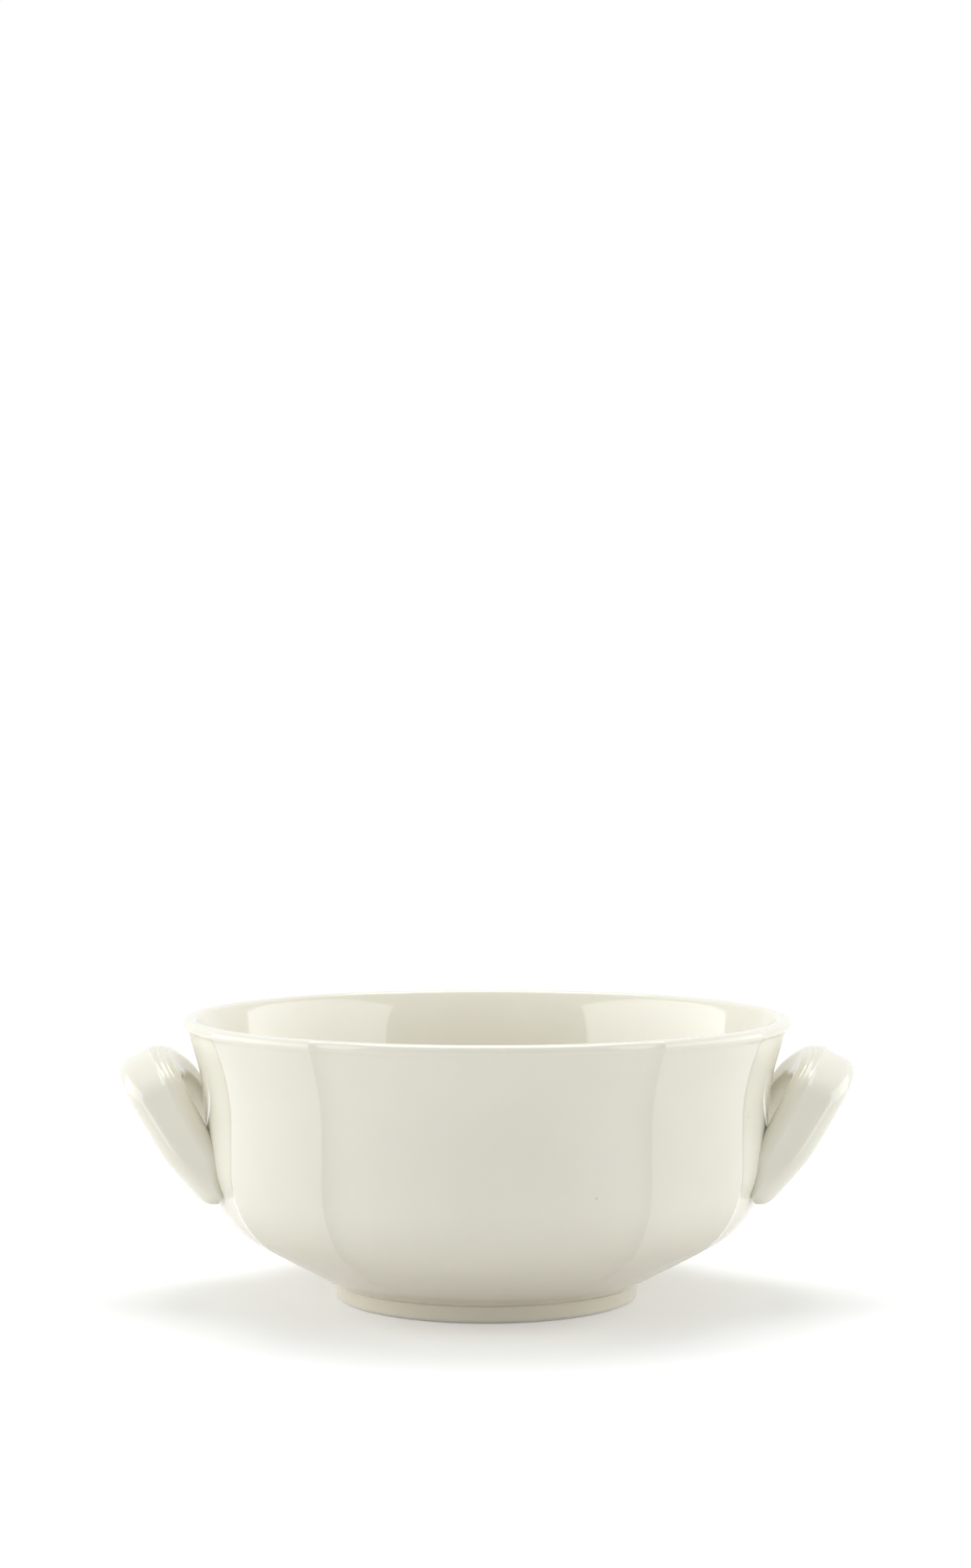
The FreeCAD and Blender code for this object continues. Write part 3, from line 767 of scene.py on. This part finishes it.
def glaze_normal(tree, place, bare):
    """Faint waves all over, and fine grit on the bare ring."""
    ripple = noise(tree, place, RIPPLE_SCALE, detail=1.0)
    grit = math_node(tree, "MULTIPLY", noise(tree, place, GRAIN_SCALE, detail=2.0), bare)
    wave = linked(tree, "ShaderNodeBump", {"Height": ripple, "Distance": RIPPLE_HEIGHT})
    inputs = {"Height": grit, "Distance": GRAIN_HEIGHT, "Normal": wave.outputs["Normal"]}
    return linked(tree, "ShaderNodeBump", inputs).outputs["Normal"]


def glazed_porcelain():
    """Ivory glaze over the whole bowl, apart from the bare ring that it stands on."""
    mat = bpy.data.materials.new("ivory_glaze")
    mat.use_nodes = True
    tree = mat.node_tree
    shader = tree.nodes["Principled BSDF"]
    shader.inputs["IOR"].default_value = GLAZE_IOR
    shader.inputs["Subsurface Weight"].default_value = GLAZE_MILKINESS
    shader.inputs["Subsurface Radius"].default_value = GLAZE_TINT
    shader.inputs["Subsurface Scale"].default_value = GLAZE_DEPTH
    place = tree.nodes.new("ShaderNodeTexCoord").outputs["Object"]
    height = linked(tree, "ShaderNodeSeparateXYZ", {0: place}).outputs["Z"]
    bare = band(tree, height, *BARE_BAND)
    polish = band(tree, noise(tree, place, SHEEN_SCALE, detail=2.0), *POLISH_BAND)
    glazed = between(tree, polish, *GLAZE_ROUGHNESS)
    tree.links.new(between(tree, bare, glazed, BARE_ROUGHNESS), shader.inputs["Roughness"])
    tree.links.new(glaze_color(tree, place, height, bare), shader.inputs["Base Color"])
    tree.links.new(glaze_normal(tree, place, bare), shader.inputs["Normal"])
    return mat


bowl.data.materials.clear()
bowl.data.materials.append(glazed_porcelain())


# The floor and the room, in metres

FLOOR_COLOR = (0.85, 0.85, 0.84, 1.0)
FLOOR_ROUGHNESS = 0.9
FLOOR_LIFT = 0.2
FLOOR_RADIUS = 0.8
FLOOR_SIDES = 96
# keeps the floor and the foot from sharing a plane
FLOOR_GAP = 0.02 * MM
ROOM_FILL = 0.375
WHITE = (1.0, 1.0, 1.0, 1.0)


def seen_directly(tree):
    """1 for camera, glossy and transmission rays, which see the room white, and 0 for others."""
    path = tree.nodes.new("ShaderNodeLightPath")
    seen = math_node(tree, "MAXIMUM", path.outputs["Is Camera Ray"], path.outputs["Is Glossy Ray"])
    return math_node(tree, "MAXIMUM", seen, path.outputs["Is Transmission Ray"])


def white_floor():
    """Pale floor that keeps the shadow, lifted to white where it is seen."""
    mat = bpy.data.materials.new("floor_white")
    mat.use_nodes = True
    tree = mat.node_tree
    shader = tree.nodes["Principled BSDF"]
    shader.inputs["Base Color"].default_value = FLOOR_COLOR
    shader.inputs["Roughness"].default_value = FLOOR_ROUGHNESS
    shader.inputs["Emission Color"].default_value = WHITE
    lift = math_node(tree, "MULTIPLY", seen_directly(tree), FLOOR_LIFT)
    tree.links.new(lift, shader.inputs["Emission Strength"])
    return mat


def white_room():
    """A world that is white to the eye, and a soft fill to the object."""
    world = bpy.data.worlds.new("studio")
    bpy.context.scene.world = world
    world.use_nodes = True
    tree = world.node_tree
    background = tree.nodes["Background"]
    background.inputs["Color"].default_value = WHITE
    level = between(tree, seen_directly(tree), ROOM_FILL, 1.0)
    tree.links.new(level, background.inputs["Strength"])


bpy.ops.mesh.primitive_circle_add(
    vertices=FLOOR_SIDES, radius=FLOOR_RADIUS, fill_type="NGON", location=(0.0, 0.0, -FLOOR_GAP))
floor = bpy.context.object
floor.name = "floor"
floor.data.materials.append(white_floor())
white_room()


# The lamps, in metres and watts

BOX_COLOR = (0.955, 0.98, 1.0)
# two long softboxes stand beside the bowl and run to the back; the left one is a little stronger
BOX_ANGLE = math.radians(63.0)
BOX_DISTANCE = 0.9
BOX_NEAR = -0.24
BOX_FAR = 1.8
BOX_BASE = 0.01
BOX_TOP = 0.85
LEFT_POWER = 11.4
RIGHT_POWER = 9.6
# a smaller one hangs above and behind it
TOP_PLACE = Vector((0.0, 0.3, 1.2))
TOP_FACING = Vector((0.0, -0.2, -1.0))
TOP_WIDTH = 0.9
TOP_DEPTH = 0.8
TOP_POWER = 8.5


def softbox(name, location, facing, width, height, power):
    """A rectangular lamp that shines along facing, and that the camera doesn't see."""
    light = bpy.data.lights.new(name, "AREA")
    light.shape = "RECTANGLE"
    light.size = width
    light.size_y = height
    light.energy = power
    light.color = BOX_COLOR
    made = bpy.data.objects.new(name, light)
    made.location = location
    made.rotation_euler = facing.to_track_quat("-Z", "Y").to_euler()
    made.visible_camera = False
    bpy.context.collection.objects.link(made)


def side_box(name, side, power):
    """One of the two long softboxes, on the +X side or the -X side."""
    away = Vector((side * math.sin(BOX_ANGLE), -math.cos(BOX_ANGLE), 0.0))
    along = Vector((side * math.cos(BOX_ANGLE), math.sin(BOX_ANGLE), 0.0))
    middle = Vector((0.0, 0.0, (BOX_BASE + BOX_TOP) / 2.0))
    place = BOX_DISTANCE * away + (BOX_NEAR + BOX_FAR) / 2.0 * along + middle
    softbox(name, place, -away, BOX_FAR - BOX_NEAR, BOX_TOP - BOX_BASE, power)


side_box("left_box", -1.0, LEFT_POWER)
side_box("right_box", 1.0, RIGHT_POWER)
softbox("top_box", TOP_PLACE, TOP_FACING, TOP_WIDTH, TOP_DEPTH, TOP_POWER)


# The camera: lens and sensor in millimetres, place in metres, and how far it looks down

CAMERA_LENS = 64.22
CAMERA_SENSOR = 36.0
CAMERA_PLACE = (-0.00027, -0.5945, 0.115)
CAMERA_TILT = math.radians(0.6214)

camera = bpy.data.cameras.new("camera")
camera.lens = CAMERA_LENS
camera.sensor_width = CAMERA_SENSOR
view = bpy.data.objects.new("camera", camera)
view.location = CAMERA_PLACE
view.rotation_euler = Euler((QUARTER - CAMERA_TILT, 0.0, 0.0))
bpy.context.collection.objects.link(view)
bpy.context.scene.camera = view
bpy.context.scene.view_settings.view_transform = "Standard"
